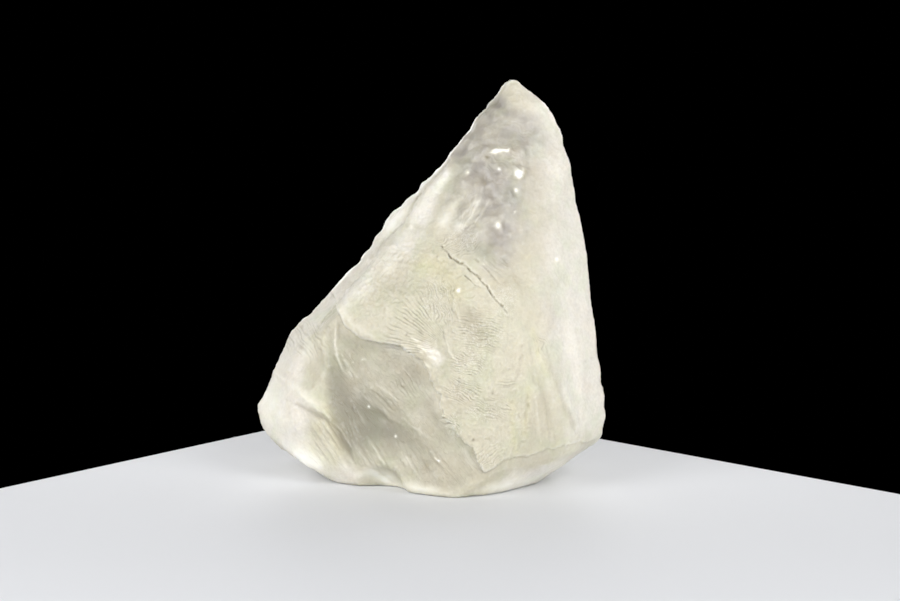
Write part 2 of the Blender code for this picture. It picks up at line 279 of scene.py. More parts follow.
# Swellings and hollows of the front: middle, reach across and down in pixels, height in mm
MARKS = [
    (469, 194, 12, 18, -0.3), (492, 240, 11, 10, -0.28), (500, 232, 6, 7, 0.3),
    (481, 246, 8, 7, -0.08), (501, 150, 13, 4, 0.35), (518, 173, 8, 7, 0.35),
    (484, 179, 9, 8, -0.55), (496, 200, 8, 14, -0.4), (512, 134, 17, 10, -0.35),
    (497, 102, 8, 8, -0.25), (470, 158, 13, 8, -0.25), (492, 137, 10, 7, 0.2),
    (535, 210, 16, 22, 0.2), (505, 395, 20, 16, 0.15), (352, 312, 12, 14, 0.25),
    (400, 284, 30, 12, -0.2), (428, 404, 11, 10, -0.12), (372, 392, 22, 12, 0.2),
    (412, 375, 14, 9, -0.2), (515, 375, 14, 18, 0.15), (586, 360, 8, 12, 0.12),
    (497, 103, 7, 7, -0.25), (486, 116, 7, 5, 0.2), (527, 186, 5, 4, 0.12), (458, 152, 7, 5, -0.2),
]

# The darker parts of the smoky top: middle, reach across and down in pixels, how dark
SMOKE_PATCHES = [
    (521, 130, 22, 12, 0.42), (506, 135, 8, 5, 0.15), (528, 120, 12, 7, 0.25),
    (500, 101, 9, 9, 0.8), (487, 118, 12, 7, 0.25), (474, 138, 12, 12, 0.15),
    (464, 157, 16, 9, 0.35), (486, 172, 16, 9, 0.45), (494, 190, 17, 17, 0.65),
    (504, 206, 12, 12, 0.3), (497, 238, 18, 11, 0.25), (503, 232, 7, 8, 0.35),
    (478, 171, 12, 7, 0.6), (542, 134, 13, 20, 0.6), (516, 112, 16, 8, 0.3),
]

# Where the solid's edges are worn away: middle, then reach across and down, in pixels
WORN = [(484, 125, 40, 52), (552, 285, 26, 80)]
WEAR_PASSES = 60

# Soft ridges and grooves: path and reach in pixels, height in mm, shade from -1, dark, to 1, pale
# Some strokes are painted light or painted shade rather than the stone's tone, as their groups say
STROKES = [
    # The thin bright edges at the top left of the trough, and a scratch by them
    ([(336, 318), (335, 342), (337, 356), (343, 370), (351, 380)], 1.6, 0.16, 0.25),
    ([(340, 350), (346, 363), (354, 374), (364, 386)], 1.6, 0.12, 0.15),
    ([(347, 369), (353, 379)], 0.9, 0.08, 0.35),
    # Brush-like streaks down the trough
    ([(352, 385), (372, 402), (392, 418), (410, 428)], 2.8, 0.1, 0.16),
    ([(362, 384), (382, 398), (400, 414), (418, 428)], 2, -0.12, -0.14),
    ([(376, 384), (394, 398), (404, 408)], 1.6, 0.1, 0.18),
    ([(398, 384), (408, 389), (415, 397)], 1.3, -0.12, -0.25),
    ([(402, 366), (408, 374), (411, 381)], 1.1, 0.1, 0.35),
    ([(404, 424), (420, 432), (434, 441)], 3, 0.1, 0.14),
    ([(400, 420), (414, 432), (420, 442)], 2.6, -0.14, -0.16),
    # The darker block at the trough's upper right, and the dark foot of its left wall
    ([(402, 367), (410, 374), (419, 381)], 8, -0.08, -0.32),
    ([(396, 385), (406, 388), (416, 393)], 2.2, -0.08, -0.2),
    ([(332, 352), (335, 376), (340, 404), (350, 430)], 7, -0.1, -0.24),
    # Pale wisps across the trough's dark core
    ([(350, 398), (360, 416), (372, 436)], 2, 0.08, 0.16),
    ([(362, 428), (374, 448), (386, 466)], 2, 0.08, 0.14),
    ([(386, 430), (392, 446), (400, 462)], 7, 0, -0.16),
    ([(394, 440), (406, 456), (418, 474)], 2, 0.08, 0.12),
    ([(352, 440), (360, 454), (366, 462)], 2.4, 0.08, 0.2),
    ([(372, 400), (384, 416), (398, 432)], 1.6, -0.08, -0.2),
    # Shade and pale places of the left strip and the pearly flat, with a painted highlight on the
    # strip's ledges, and the lobe's dark foot
    ([(368, 254), (350, 276), (332, 298)], 6, 0, -0.22),
    ([(456, 176), (450, 190), (444, 204)], 4, 0, 0.2),
    ([(446, 160), (436, 176), (430, 190)], 6, 0, -0.2),
    ([(412, 198), (398, 216), (380, 240)], 7, 0, 0.62),
    ([(334, 438), (344, 456), (352, 470)], 5, 0, -0.35),
    ([(292, 403), (308, 412), (324, 422)], 6, 0, -0.32),
    ([(468, 168), (478, 172), (486, 180)], 4, -0.08, -0.35),
    # Painted light on the floor of the recess under the lip, lifting the shade that falls there
    ([(356, 474), (374, 472), (388, 480), (402, 490)], 7, 0, 0.65),
    # Brown shade left of the fan's middle, and beside the glinting patch
    ([(436, 364), (443, 372), (450, 382)], 6, 0, -0.24),
    ([(418, 352), (424, 358)], 4, 0, -0.15),
    ([(438, 338), (444, 352), (446, 374)], 6, 0, -0.16),
    ([(452, 292), (457, 310), (462, 326)], 4, 0, -0.14),
    # Painted light along the shell's edge and the ragged edge, over the shadow their ledges cast,
    # then more brown shade
    ([(362, 342), (390, 346), (409, 353), (423, 366)], 4.5, 0, 0.42),
    ([(424, 386), (434, 398), (444, 410)], 5, 0, 0.2),
    ([(462, 446), (472, 462), (480, 472)], 4, 0, 0.2),
    ([(420, 390), (438, 410), (456, 438), (470, 466)], 5, 0, 0.16),
    ([(382, 362), (390, 376), (398, 386)], 7, 0, -0.16),
    ([(424, 450), (430, 462), (440, 474)], 7, 0, -0.12),
    ([(498, 292), (512, 292), (524, 296)], 9, 0, -0.1),
    # The dark edge of the trough along the lobe, and the shade on the lobe's crest
    ([(325, 394), (333, 416), (343, 440), (350, 464)], 4.5, -0.06, -0.45),
    ([(300, 406), (310, 420), (320, 440)], 6, 0, -0.2),
    # Crest of the lobe, and the groove under it
    ([(276, 374), (292, 385), (310, 400), (330, 418)], 6.5, 0.45, 0.2),
    ([(286, 399), (304, 408), (325, 420), (338, 434), (350, 452), (356, 465)], 3.2, -0.28, -0.22),
    ([(331, 420), (342, 432), (352, 448), (359, 462)], 1.8, 0.14, 0.12),
    ([(330, 428), (338, 440), (344, 450)], 2, -0.12, -0.45),
    ([(344, 446), (351, 456), (356, 464)], 1.5, -0.12, -0.5),
    # Streaks on the lobe
    ([(307, 414), (318, 432), (330, 450)], 2.4, -0.05, -0.16),
    ([(314, 420), (326, 440), (340, 458), (350, 470)], 3, 0.05, 0.12),
    ([(318, 418), (330, 436), (342, 452)], 2.2, -0.04, -0.14),
    ([(303, 410), (316, 430), (330, 452), (340, 466)], 2.2, 0.1, 0.1),
    ([(300, 425), (318, 450), (340, 474)], 9, 0, 0.14),
    # The lip over the recess, and dark streaks beside a bright scratch
    ([(352, 463), (366, 466), (378, 470), (388, 479), (400, 488), (416, 494)], 1.5, -0.08, -0.2),
    ([(428, 451), (436, 462), (447, 474)], 1.6, -0.12, -0.45),
    ([(434, 449), (443, 461), (453, 472)], 1.2, -0.08, -0.3),
    ([(433, 456), (439, 462)], 0.9, 0.08, 0.9),
    ([(402, 452), (412, 466), (420, 478)], 2.6, 0.1, 0.14),
    ([(412, 450), (424, 464), (434, 478)], 2.2, -0.1, -0.14),
    # The valley beside the yellow glow, and its sharp left side
    ([(460, 300), (468, 316), (477, 330), (494, 350)], 10, -0.4, -0.48),
    ([(452, 288), (455, 304), (460, 322), (468, 338)], 2, 0.16, 0.12),
    ([(445, 338), (449, 352), (458, 362)], 1.8, 0.14, 0.25),
    ([(442, 326), (444, 338), (447, 348)], 1, -0.1, -0.3),
    # Soft streaks down the right of the front
    ([(529, 342), (533, 362), (541, 386), (550, 416), (556, 442)], 2.6, -0.08, -0.14),
    ([(546, 346), (553, 368), (563, 398), (571, 424)], 3.2, -0.1, -0.18),
    ([(522, 345), (520, 368), (514, 386)], 2.4, -0.09, -0.14),
    ([(538, 345), (545, 372), (553, 400)], 2.8, 0.07, 0.1),
    ([(560, 372), (569, 400), (579, 428)], 3, 0.1, 0.12),
    ([(536, 396), (538, 420), (541, 446)], 2.6, 0.1, 0.12),
    ([(546, 400), (548, 420), (551, 444)], 2.2, -0.1, -0.14),
    ([(568, 405), (572, 420), (576, 436)], 1.6, -0.1, -0.25),
    ([(550, 255), (549, 300), (552, 345)], 9, 0, -0.18),
    ([(540, 118), (544, 160), (543, 200), (541, 250), (543, 300)], 13, 0, -0.3),
    ([(528, 389), (527, 405), (525, 426)], 2, -0.1, -0.25),
    ([(501, 386), (508, 387), (515, 384)], 1.4, -0.12, -0.35),
    ([(532, 374), (534, 381), (537, 386)], 1.5, -0.1, -0.35),
    ([(557, 290), (560, 276), (558, 262)], 3.5, -0.1, -0.14),
    # Painted shade on the underside, in brown
    ([(446, 486), (468, 484), (490, 478), (510, 472)], 6, 0, -0.14),
    # Wisps beside the smoky top
    ([(483, 182), (482, 196), (474, 212), (463, 228)], 2.6, 0.1, 0.22),
    ([(490, 196), (485, 208), (477, 220), (468, 230)], 1.6, 0.08, 0.26),
    ([(478, 190), (473, 202), (464, 214), (455, 222)], 2.6, 0.1, 0.14),
    ([(486, 190), (479, 206), (469, 222)], 1, -0.06, -0.15),
    ([(476, 186), (476, 204), (465, 222), (450, 236)], 7, 0.16, 0.28),
    ([(470, 216), (460, 228), (448, 240)], 3, 0.08, 0.08),
    ([(474, 180), (484, 181), (490, 192), (494, 203)], 4, -0.18, -0.35),
    ([(474, 158), (470, 170), (462, 176)], 3, 0.1, 0.12),
    # A groove under the strip on the left, and its dark foot
    ([(385, 236), (366, 266), (348, 292), (336, 306)], 1.5, -0.1, -0.2),
    ([(326, 372), (326, 386), (328, 404)], 6, -0.12, -0.18),
    # Painted light on the left side, the lower edges and the tip, where the lamps leave them
    # darker, and painted shade beside the tip
    ([(302, 332), (311, 348), (314, 366)], 8.5, 0, 0.38),
    ([(306, 328), (320, 320), (332, 314)], 8, 0, 0.2),
    ([(280, 356), (268, 384), (272, 412), (294, 440)], 15, 0, 0.4),
    ([(284, 442), (307, 461), (332, 474)], 11, 0, 0.66),
    ([(396, 484), (420, 489), (448, 493)], 6, 0, 0.45),
    ([(476, 491), (500, 487), (530, 478)], 7, 0, 0.5),
    ([(512, 87), (526, 91), (538, 99)], 6, 0, 0.25),
    ([(532, 114), (545, 132), (556, 162)], 11, 0, -0.2),
    # Bright streaks of the glinting patch
    ([(411, 337), (416, 340), (421, 342)], 1.6, 0.08, 0.5),
    ([(415, 345), (421, 347), (426, 352)], 1.8, 0.08, 0.5),
    ([(423, 349), (429, 351), (436, 350)], 1.5, 0.08, 0.6),
    ([(428, 356), (433, 357), (438, 360)], 1.6, 0.08, 0.5),
    ([(419, 350), (424, 355)], 1.5, 0.05, 0.45),
    ([(437, 350), (441, 357)], 1.3, 0.05, 0.4),
    ([(424, 361), (430, 369)], 1.2, 0.08, 0.5),
    ([(418, 343), (428, 347)], 0.9, -0.06, -0.3),
    # The glints of the smoky top
    ([(489, 153), (497, 151), (505, 150)], 2.1, 0.1, 1),
    ([(503, 149), (507, 151), (511, 148)], 1.5, 0.08, 0.8),
    ([(491, 150), (496, 149), (499, 150)], 0.9, 0.06, 0.6),
    ([(515, 176), (523, 170)], 4.6, 0.12, 1),
    ([(517, 178), (522, 176)], 1.8, 0.06, 0.5),
    # Soft brown shade across the shell, and its bright lower left rim
    ([(366, 300), (388, 286), (416, 280), (440, 290)], 12, -0.1, -0.15),
    ([(333, 292), (340, 310), (352, 326), (374, 337)], 5, 0.06, 0.2),
    ([(384, 262), (394, 272)], 7, 0.05, 0.2),
    # The white patch under the pearly flat
    ([(456, 202), (447, 214), (439, 232)], 9, 0.08, 0.46),
    ([(446, 172), (440, 190), (436, 214)], 5, 0.05, 0.14),
    # Painted shade under the front's lower edge, and painted light on the edge below it
    ([(480, 478), (506, 466), (528, 462), (556, 455), (586, 445)], 4, -0.08, -0.06),
    ([(538, 476), (560, 466), (580, 457), (598, 444)], 9, 0, 0.5),
]

# Small dark and bright places: middle and reach in pixels, height in mm, shade
# The brightest spots on the smoky top and the right flank are painted glints
SPOTS = [
    (487, 157, 2.4, -0.2, -1), (483, 178, 4, -0.15, -0.6), (407, 335, 1.2, -0.1, -1),
    (473, 440, 1.3, -0.1, -1), (493, 393, 1.2, -0.1, -0.9), (437, 257, 1.3, -0.08, -0.7),
    (585, 361, 1.6, -0.06, -0.35), (591, 358, 1.3, -0.06, -0.3), (420, 332, 3.2, -0.1, -0.4),
    (458, 384, 4.2, -0.1, -0.35), (458, 290, 2.4, 0.16, 0.9), (557, 259, 2.2, 0.12, 0.8),
    (368, 407, 1.3, 0.1, 1), (396, 436, 1.5, 0.1, 1), (439, 461, 1.2, 0.08, 1),
    (498, 225, 3.2, 0.14, 0.8), (515, 212, 1.8, 0.08, 0.7), (516, 190, 2, 0.08, 0.8),
    (499, 169, 1.6, 0.08, 0.8), (468, 173, 1.6, 0.08, 0.6), (412, 227, 2.4, 0.08, 0.6),
    (350, 474, 7, 0, -0.18), (480, 277, 2, -0.1, -0.5), (447, 249, 2.5, -0.08, -0.3),
    (508, 317, 1.2, -0.06, -0.5), (466, 228, 1.2, -0.08, -0.4), (474, 224, 1.1, -0.08, -0.4),
    (458, 236, 1.2, -0.08, -0.4), (470, 234, 1.1, 0.08, 0.4), (352, 362, 1.3, 0.06, 0.4),
    (362, 360, 1.3, 0.06, 0.4), (412, 418, 6, 0, 0.16), (430, 405, 7, -0.06, -0.08),
    (452, 367, 2.2, -0.05, -0.25), (512, 402, 1.4, -0.05, -0.3),
]

# Patches of fine ripples: middle and reach in pixels, then the lines' turn in degrees, their half
# spacing, length and waviness in pixels, and their depth in mm
LINES = [
    ((479, 332), (28, 26), 10, 1.3, 8, 2, 0.075), ((468, 364), (20, 16), 15, 1.25, 6, 3, 0.085),
    ((463, 390), (20, 15), 25, 1.25, 6, 3, 0.11), ((490, 408), (24, 14), 18, 1.3, 7, 3, 0.065),
    ((440, 302), (20, 30), 75, 1.4, 6, 4, 0.07), ((452, 421), (13, 11), 20, 1.7, 7, 4, 0.085),
    ((488, 455), (16, 14), -40, 1.6, 5, 5, 0.05), ((495, 266), (16, 10), 40, 1.8, 10, 3, 0.035),
    ((470, 212), (15, 28), -60, 1.7, 8, 5, 0.03), ((460, 244), (24, 14), -30, 1.4, 4, 6, 0.075),
    ((306, 340), (24, 20), 55, 2, 8, 4, 0.06), ((408, 384), (18, 14), 55, 1.7, 10, 2, 0.06),
    ((376, 402), (30, 14), 42, 2, 22, 2, 0.05), ((395, 455), (50, 17), 62, 2.4, 30, 1, 0.04),
    ((328, 438), (17, 30), 56, 2.6, 30, 1, 0.045), ((352, 425), (12, 24), 70, 2, 20, 2, 0.055),
    ((578, 392), (16, 44), 74, 2.6, 12, 4, 0.014), ((505, 165), (28, 24), 30, 2.4, 5, 6, 0.03),
    ((526, 418), (14, 26), 86, 2.2, 9, 4, 0.014), ((540, 344), (11, 10), 60, 1.6, 6, 4, 0.05),
    ((507, 384), (11, 6), 0, 1.5, 8, 2, 0.05), ((520, 130), (20, 14), 20, 2, 5, 5, 0.03),
]
LINE_DEPTH = 0.08 * MM

# Where the surface is netted with fine worm-like lines: middle, reach across and down, in pixels
WORMED = [
    (470, 362, 22, 20), (464, 390, 18, 14), (486, 412, 24, 12), (438, 302, 22, 28),
    (482, 334, 26, 18), (455, 425, 10, 16), (486, 462, 12, 12), (505, 300, 16, 20),
    (462, 240, 20, 14),
]

# Swellings and hollows of the outline: place and reach in pixels, height in mm
LEDGES = [
    (271, 366, 3.2, 0.22), (265, 378, 3, 0.2), (259, 391, 3, 0.18), (258, 404, 2.8, 0.18),
    (512, 81, 9, 0.5), (502, 86, 7, 0.45), (483, 109, 6, -0.4), (468, 129, 7, -0.2),
    (450, 153, 7, 0.25), (436, 170, 5, 0.15), (422, 183, 6, 0.55), (416, 190, 4, -0.15),
    (405, 198, 7, 0.25), (393, 210, 6, 0.35), (380, 226, 5, -0.15), (375, 237, 6, 0.35),
    (370, 248, 6, -0.15), (356, 261, 8, -0.35), (318, 303, 18, -0.7), (302, 318, 6, 0.15),
    (290, 331, 6, 0.25), (283, 345, 5, -0.15), (278, 358, 11, -0.2), (270, 372, 5, 0.15),
    (262, 392, 13, -0.2), (545, 102, 8, 0.2), (553, 116, 9, 0.35), (560, 133, 9, 0.22),
    (568, 156, 11, 0.15), (574, 190, 16, 0.2), (581, 224, 14, 0.25), (593, 306, 12, -0.12),
    (598, 351, 12, -0.3), (602, 381, 6, -0.28), (606, 398, 4, 0.15), (604, 407, 4, -0.15),
    (608, 416, 4, 0.2),
]


def ramp(values, low, high):
    """0 at low, 1 at high, and smooth between them."""
    share = np.clip((values - low) / (high - low), 0, 1)
    return share * share * (3 - 2 * share)


def make_camera():
    """The camera at the photograph's place."""
    lens = bpy.data.cameras.new("camera")
    lens.sensor_width = SENSOR / MM
    lens.lens = FOCAL_PIXELS / FRAME_WIDTH * SENSOR / MM
    lens.clip_start = CLIP_NEAR
    lens.clip_end = CLIP_FAR
    camera = add_object("camera", lens)
    tilt = Matrix.Rotation(math.pi / 2 - CAMERA_DOWN, 4, "X")
    roll = Matrix.Rotation(CAMERA_ROLL, 4, "Z")
    camera.matrix_world = Matrix.Translation(CAMERA_PLACE) @ tilt @ roll
    bpy.context.scene.camera = camera
    return camera


def add_object(name, data):
    """An object in the scene."""
    made = bpy.data.objects.new(name, data)
    bpy.context.scene.collection.objects.link(made)
    return made


def read(items, name, size, kind=float):
    """What a mesh keeps for every vertex or edge, as rows of a size."""
    values = np.empty(len(items) * size, kind)
    items.foreach_get(name, values)
    return values.reshape(-1, size)


class Surface:
    """A mesh's vertices as arrays: places, outward directions, pixels, facing and edges."""

    def __init__(self, mesh, camera):
        self.mesh = mesh
        self.camera = camera
        self.places = read(mesh.vertices, "co", 3)
        self.edges = read(mesh.edges, "vertices", 2, int)
        self.look()

    def look(self):
        """Reads the directions and the pixels of the places as they are now."""
        self.outward = read(self.mesh.vertices, "normal", 3)
        towards = np.array(CAMERA_PLACE) - self.places
        towards /= np.linalg.norm(towards, axis=1)[:, None]
        self.facing = (towards * self.outward).sum(axis=1)
        self.front = ramp(self.facing, 0, FRONT_FACING)
        turn = np.array(self.camera.matrix_world.to_3x3())
        seen = (self.places - np.array(CAMERA_PLACE)) @ turn
        across = FRAME_WIDTH / 2 - FOCAL_PIXELS * seen[:, 0] / seen[:, 2]
        down = FRAME_HEIGHT / 2 + FOCAL_PIXELS * seen[:, 1] / seen[:, 2]
        self.pixels = np.stack([across, down], axis=1)

    def update(self):
        """Writes the places to the mesh, and looks at it again."""
        self.mesh.vertices.foreach_set("co", self.places.ravel())
        self.mesh.update()
        self.look()

    def move(self, heights):
        """Moves the vertices out along their normals."""
        self.places += self.outward * heights[:, None]
        self.update()

    def around(self, passes):
        """The places averaged with those of the vertices around, some times over."""
        first, second = self.edges.T
        size = len(self.places)
        count = np.bincount(self.edges.ravel(), minlength=size)
        averaged = []
        for values in self.places.T:
            for _ in range(passes):
                total = np.bincount(first, values[second], size)
                total += np.bincount(second, values[first], size)
                values = (values + total / count) / 2
            averaged.append(values)
        return np.stack(averaged, axis=1)

    def bulge(self, passes):
        """How far each place stands out of its surroundings in metres: below 0 in hollows."""
        return ((self.places - self.around(passes)) * self.outward).sum(axis=1)

    def store(self, name, values):
        """Keeps a value for each vertex in the mesh, for its material."""
        attribute = self.mesh.attributes.new(name, "FLOAT", "POINT")
        attribute.data.foreach_set("value", values.astype(np.float32))


def lumps(places, size, octaves=1, shift=0):
    """Soft noise from about -1 to 1, in lumps of a size."""
    moved = Vector((shift, shift, shift))
    spots = (Vector(place) / size + moved for place in places)
    if octaves == 1:
        return np.array([noise.noise(spot) for spot in spots])
    return np.array([noise.fractal(spot, 1, 2, octaves) for spot in spots])


def flat_lumps(pixels, size, shift):
    """The same, across the photograph."""
    return lumps(np.column_stack([pixels, np.zeros(len(pixels))]), size, 1, shift)


def cells(places, size, shift):
    """Scallops: 0 in the middle of each hollow, and about 1 on the sharp ridges between them."""
    moved = Vector((shift, shift, shift))
    made = []
    for place in places:
        near = noise.voronoi(Vector(place) / size + moved)[0]
        made.append(near[0] / max(near[1], 1e-6))
    return np.array(made)


def path_distance(pixels, path):
    """The distance in pixels from each place to a path, and how far along it that is."""
    nearest = np.full(len(pixels), np.inf)
    along = np.zeros(len(pixels))
    done = 0
    for start, end in zip(path[:-1], path[1:]):
        start = np.array(start, float)
        step = np.array(end, float) - start
        length = np.linalg.norm(step)
        share = np.clip(((pixels - start) @ step) / length**2, 0, 1)
        distance = np.linalg.norm(pixels - start - share[:, None] * step, axis=1)
        closer = distance < nearest
        nearest[closer] = distance[closer]
        along[closer] = done + share[closer] * length
        done += length
    return nearest, along


def path_length(path):
    """The length of a path in pixels."""
    return sum(math.dist(start, end) for start, end in zip(path[:-1], path[1:]))


def depth_inside(pixels, outline):
    """The distance in pixels to a closed outline, above 0 inside it and below 0 outside."""
    closed = outline + outline[:1]
    distance, _ = path_distance(pixels, closed)
    inside = np.zeros(len(pixels), bool)
    x, y = pixels[:, 0], pixels[:, 1]
    for (x0, y0), (x1, y1) in zip(closed[:-1], closed[1:]):
        if y0 == y1:
            continue
        crosses = (y0 > y) != (y1 > y)
        inside ^= crosses & (x < x0 + (y - y0) / (y1 - y0) * (x1 - x0))
    return np.where(inside, distance, -distance)


def away_from(pixels, middle, reach):
    """How far each place is from a middle, where 1 is its reach across and down."""
    return np.hypot((pixels[:, 0] - middle[0]) / reach[0], (pixels[:, 1] - middle[1]) / reach[1])


def oval(pixels, middle, reach):
    """1 in the middle of an oval patch, and 0 outside it, with a soft rim."""
    return ramp(-away_from(pixels, middle, reach), -1.15, -0.55)


def apply_modifiers(piece):
    """Puts what a piece's modifiers make into its own mesh."""
    graph = bpy.context.evaluated_depsgraph_get()
    made = bpy.data.meshes.new_from_object(piece.evaluated_get(graph))
    piece.modifiers.clear()
    old = piece.data
    piece.data = made
    bpy.data.meshes.remove(old)


def smooth(piece, passes):
    """Smooths a piece's mesh."""
    modifier = piece.modifiers.new("smooth", "SMOOTH")
    modifier.factor = 0.5
    modifier.iterations = passes
    apply_modifiers(piece)


def split_faces(piece, chosen):
    """Splits the faces whose every corner is chosen in four."""
    body = bmesh.new()
    body.from_mesh(piece.data)
    faces = [face for face in body.faces if all(chosen[vertex.index] for vertex in face.verts)]
    edges = {edge for face in faces for edge in face.edges}
    bmesh.ops.subdivide_edges(body, edges=list(edges), cuts=1, use_grid_fill=True)
    body.to_mesh(piece.data)
    body.free()


def triangle_count(mesh):
    """How many triangles a mesh's faces make."""
    return sum(len(face.vertices) - 2 for face in mesh.polygons)


def wear(surface):
    """Rounds the solid's edges where the crystal is worn."""
    share = np.zeros(len(surface.places))
    for across, down, wide, high in WORN:
        share = np.maximum(share, oval(surface.pixels, (across, down), (wide, high)))
    share *= surface.front
    surface.places += share[:, None] * (surface.around(WEAR_PASSES) - surface.places)
    surface.update()


def fine_crystal(camera):
    """A fine copy of the solid, finer on the side that the photograph shows."""
    piece = add_object("crystal_surface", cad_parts["crystal"].data.copy())
    remesh = piece.modifiers.new("grain", "REMESH")
    remesh.mode = "VOXEL"
    remesh.voxel_size = GRAIN
    apply_modifiers(piece)
    smooth(piece, FACET_SMOOTHING)
    wear(Surface(piece.data, camera))
    seen = Surface(piece.data, camera)
    split_faces(piece, seen.facing > SEEN_FACING)
    seen = Surface(piece.data, camera)
    split_faces(piece, (depth_inside(seen.pixels, ETCHED) > 0) & (seen.facing > ETCHED_FACING))
    smooth(piece, SPLIT_SMOOTHING)
    return piece


def thin_out(piece):
    """Joins the flattest of a piece's triangles, down to its number."""
    fewer = piece.modifiers.new("fewer_faces", "DECIMATE")
    fewer.ratio = min(1, TRIANGLES / triangle_count(piece.data))
    apply_modifiers(piece)


def step_at(pixels, edge, inside, ragged, high, low, reach):
    """A ledge along an edge: raised inside, sunk outside, and fading with distance."""
    distance, _ = path_distance(pixels, edge)
    signed = np.where(inside > 0, distance, -distance) + ragged
    raised = high * np.exp(-np.abs(signed) / reach)
    sunk = -low * np.exp(-np.abs(signed) / reach)
    return sunk + (raised - sunk) * ramp(signed, -0.9, 0.9)


def plateau_depth(pixels):
    """How far inside the front's large worn face each place is, in pixels."""
    return depth_inside(pixels, SHELL_EDGE + RAGGED_EDGE[1:] + UNDER_EDGE[1:] + PLATEAU_REST)


def raggedness(pixels):
    """How far the rim of the front's large worn face is out of line, in pixels."""
    return 2.4 * flat_lumps(pixels, RAGGED_WAVE, 3.1) + 1.3 * flat_lumps(pixels, RAGGED_NOTCH, 7.3)


def ripples(pixels, lines, shift):
    """The phase of a patch's ripples, and the places along and across them in their own measure."""
    degrees, width, length, wander = lines
    turn = math.radians(degrees)
    sway = [wander * flat_lumps(pixels, RIPPLE_SWAY, shift + step) for step in (0, 4.7)]
    bent = pixels + np.stack(sway, axis=1)
    along = bent @ np.array([math.cos(turn), math.sin(turn)]) / length
    across = bent @ np.array([-math.sin(turn), math.cos(turn)]) / width
    return math.pi * across, along, across


def fan_places(pixels):
    """How far each place is from the fan's middle, and its turn: 0 at the left, above 0 over it."""
    step = pixels - np.array(FAN_MIDDLE)
    return np.hypot(step[:, 0], step[:, 1]), np.arctan2(-step[:, 1], -step[:, 0])


def fan_ripples(pixels):
    """The same as ripples, for the short lines that run out from the fan's middle."""
    out, turn = fan_places(pixels)
    across = turn * FAN_LINES + 1.2 * flat_lumps(pixels, FAN_SWAY, 2.5)
    return math.pi * across, out / FAN_LENGTH, across


def line_map(surface):
    """The phase and strength of the front's fine ripples, which fade where patches meet."""
    pixels = surface.pixels
    count = len(pixels)
    phase, along, across, best, second = (np.zeros(count) for _ in range(5))
    out, turn = fan_places(pixels)
    turn = np.degrees(turn)
    fan = ramp(out, 16, 28) * ramp(-out, -84, -60) * ramp(turn, -8, 6) * ramp(-turn, -80, -50)
    patches = [(fan, fan_ripples)]
    for number, (middle, reach, *lines, depth) in enumerate(LINES):
        share = oval(pixels, middle, reach) * (depth * MM) / LINE_DEPTH
        patches.append((share, ripples, lines, 1.3 * number))
    for share, function, *rest in patches:
        chosen = share > best
        second = np.maximum(second, np.minimum(best, share))
        phase[chosen], along[chosen], across[chosen] = function(pixels[chosen], *rest)
        best = np.maximum(best, share)
    broken = flat_lumps(np.stack([along, 0.4 * across], axis=1), 1, 3.7)
    strength = best * (0.25 + 0.75 * ramp(broken, -0.3, 0.2))
    strength *= ramp((best - second) / np.maximum(best, 1e-6), 0.02, 0.25)
    return phase, strength * surface.front


def etched_heights(surface):
    """The depth of the ripples' grooves and the height of their ridges."""
    phase, strength = line_map(surface)
    return LINE_DEPTH * strength * (0.3 - ramp(np.sin(phase), 0, 0.9))


def strokes_and_spots(surface):
    """Heights of the strokes and spots of the front, and how much paler or darker they are: partly
    the stone's tone, partly painted light, painted shade and painted glints.
    """
    pixels = surface.pixels
    sway = [flat_lumps(pixels, STROKE_SWAY, shift) for shift in (5.5, 9.5)]
    bent = pixels + np.stack(sway, axis=1)
    heights = np.zeros(len(pixels))
    shades = np.zeros(len(pixels))
    for path, reach, height, shade in STROKES:
        distance, along = path_distance(bent, path)
        length = path_length(path)
        narrow = 0.35 + 0.65 * ramp(np.minimum(along, length - along), -1, 0.4 * length)
        share = narrow * np.exp(-((distance / (reach * narrow)) ** 2))
        heights += height * MM * share
        shades += shade * share
    for x, y, reach, height, shade in SPOTS:
        share = np.exp(-((bent[:, 0] - x) ** 2 + (bent[:, 1] - y) ** 2) / reach**2)
        heights += height * MM * share
        shades += shade * share
    return heights * surface.front, shades * surface.front


def broad_shape(surface):
    """Heights of the breaks, knobs and hollows of the front, and of the ledges of the outline."""
    pixels = surface.pixels
    plateau = plateau_depth(pixels)
    ragged = raggedness(pixels)
    heights = np.zeros(len(pixels))
    sides = (plateau, plateau, plateau, -depth_inside(pixels, LEFT_STRIP))
    for inside, (edge, share, high, low, reach) in zip(sides, STEPS):
        heights += step_at(pixels, edge, inside, share * ragged, high * MM, low * MM, reach)
    for x, y, across, down, height in MARKS:
        away = ((pixels[:, 0] - x) / across) ** 2 + ((pixels[:, 1] - y) / down) ** 2
        heights += height * MM * np.exp(-away)
    heights += strokes_and_spots(surface)[0]
    heights *= surface.front
    side = ramp(-np.abs(surface.facing), -0.75, -0.35)
    for x, y, reach, height in LEDGES:
        away = ((pixels[:, 0] - x) ** 2 + (pixels[:, 1] - y) ** 2) / reach**2
        heights += height * MM * np.exp(-away) * side
    return heights


def terraces(places):
    """Ledges like those of cleaved calcite: long slopes with short steep steps, about 1 high."""
    ledges = []
    for climb, spacing, shift in TERRACES:
        level = 0.7 * lumps(places, VEIL, 2, shift) + places @ np.array(climb) / spacing
        share = level - np.floor(level)
        ledges.append(ramp(share, 0, 0.1) - share)
    second = ramp(lumps(places, TERRACE_PATCH, 1, 53), -0.05, 0.05)
    return ledges[0] * (1 - second) + ledges[1] * second


